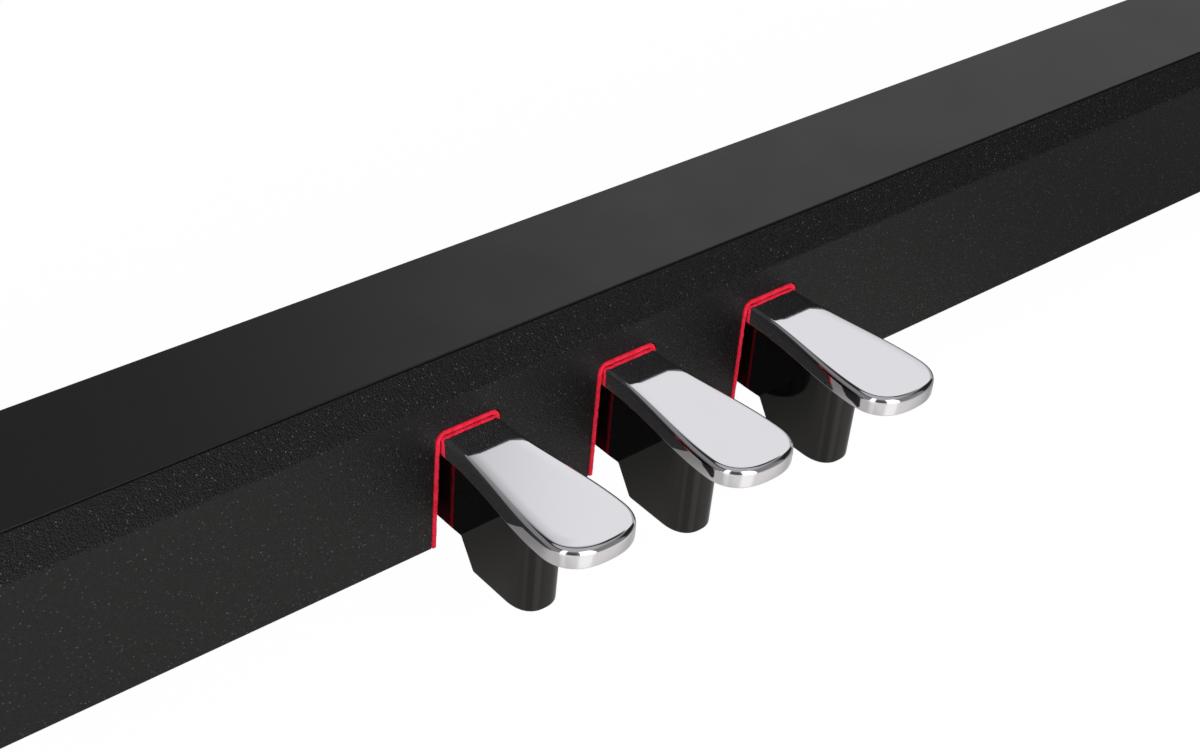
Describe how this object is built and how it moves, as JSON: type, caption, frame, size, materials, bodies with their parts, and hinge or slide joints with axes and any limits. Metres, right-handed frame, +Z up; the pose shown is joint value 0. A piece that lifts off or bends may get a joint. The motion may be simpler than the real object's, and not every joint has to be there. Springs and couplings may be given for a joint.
{
  "type": "digital piano pedal board",
  "caption": "Boxed crossbar of a digital piano stand with sprung foot pedals in felt-lined slots, a hidden lever mechanism and a screw foot.",
  "frame": {"origin": "middle of the bar's length, on the plane of its front face, at its bottom edge", "axes": "+X along the bar to the player's right, +Y from the player to the back, +Z up"},
  "size_m": [1.2046, 0.1902, 0.107],
  "materials": {
    "textured_black": "fine sand-textured black foil on board",
    "satin_black": "smooth satin black foil on board",
    "board_black": "matt black foil on board",
    "chrome": "mirror chrome plate on a casting",
    "gloss_black": "polished black moulding",
    "red_felt": "dense red wool felt",
    "grey_felt": "dense grey felt",
    "black_rubber": "matt black rubber",
    "zinc_steel": "zinc-plated steel",
    "ground_steel": "bright ground steel",
    "painted_steel": "satin black painted steel",
    "brass": "machined brass",
    "nylon": "natural nylon",
    "nickel": "nickel-plated magnet",
    "circuit_green": "green solder mask on glass-fibre board",
    "chip_black": "matt black moulding",
    "socket_white": "off-white moulding",
    "knob_black": "satin black moulding"
  },
  "bodies": {
    "pedal_board": {"front_board": "textured_black", "top_board": "satin_black", "back_board_left": "board_black", "back_board_right": "board_black", "end_block_left": "board_black", "end_insert_left": "brass", "end_plate_left": "zinc_steel", "end_block_right": "board_black", "end_insert_right": "brass", "end_plate_right": "zinc_steel", "slot_felt_left": "red_felt", "pivot_yoke_left": "zinc_steel", "up_stop_felt_left": "grey_felt", "down_stop_pad_left": "black_rubber", "return_spring_left": "ground_steel", "position_sensor_left": "chip_black", "slot_felt_middle": "red_felt", "pivot_yoke_middle": "zinc_steel", "up_stop_felt_middle": "grey_felt", "down_stop_pad_middle": "black_rubber", "return_spring_middle": "ground_steel", "position_sensor_middle": "chip_black", "slot_felt_right": "red_felt", "pivot_yoke_right": "zinc_steel", "up_stop_felt_right": "grey_felt", "down_stop_pad_right": "black_rubber", "return_spring_right": "ground_steel", "position_sensor_right": "chip_black", "pivot_shaft": "ground_steel", "shaft_clip_left": "ground_steel", "shaft_clip_right": "ground_steel", "bottom_plate": "zinc_steel", "side_plate_left": "painted_steel", "side_plate_right": "painted_steel", "rear_cover": "painted_steel", "cover_screw_left": "zinc_steel", "cover_screw_centre": "zinc_steel", "cover_screw_right": "zinc_steel", "stop_rail": "zinc_steel", "sensor_board": "circuit_green", "cable_socket": "socket_white", "adjuster_nut": "zinc_steel"},
    "left_pedal": {"pedal_lever_left": "chrome", "pedal_body_left": "gloss_black", "pivot_bush_left": "nylon", "sensor_magnet_left": "nickel"},
    "middle_pedal": {"pedal_lever_middle": "chrome", "pedal_body_middle": "gloss_black", "pivot_bush_middle": "nylon", "sensor_magnet_middle": "nickel"},
    "right_pedal": {"pedal_lever_right": "chrome", "pedal_body_right": "gloss_black", "pivot_bush_right": "nylon", "sensor_magnet_right": "nickel"},
    "adjuster_foot": {"adjuster_pad": "black_rubber"},
    "adjuster_spindle": {"adjuster_screw": "zinc_steel", "adjuster_knob": "knob_black"}
  },
  "joints": [
    {"name": "left_pedal_hinge", "type": "hinge", "parent": "pedal_board", "child": "left_pedal", "pos_m": [-0.07, 0.1, 0.024], "axis": [1, 0, 0], "range_deg": [0, 4.6], "stiffness_Nm_per_rad": 28, "springref_deg": -4.3, "deforming": ["return_spring_left"]},
    {"name": "middle_pedal_hinge", "type": "hinge", "parent": "pedal_board", "child": "middle_pedal", "pos_m": [0, 0.1, 0.024], "axis": [1, 0, 0], "range_deg": [0, 4.6], "stiffness_Nm_per_rad": 28, "springref_deg": -4.3, "deforming": ["return_spring_middle"]},
    {"name": "right_pedal_hinge", "type": "hinge", "parent": "pedal_board", "child": "right_pedal", "pos_m": [0.07, 0.1, 0.024], "axis": [1, 0, 0], "range_deg": [0, 4.6], "stiffness_Nm_per_rad": 28, "springref_deg": -4.3, "deforming": ["return_spring_right"]},
    {"name": "adjuster_height", "type": "slide", "parent": "pedal_board", "child": "adjuster_foot", "axis": [0, 0, 1], "range_m": [-0.0075, 0.0075]},
    {"name": "adjuster_turn", "type": "hinge", "parent": "adjuster_foot", "child": "adjuster_spindle", "pos_m": [0, 0.034, -0.035], "axis": [0, 0, 1], "range_deg": [-2160, 2160]}
  ],
  "couplings": [
    {"joint": "adjuster_turn", "follows": "adjuster_height", "rad_per_m": 5026.5}
  ]
}
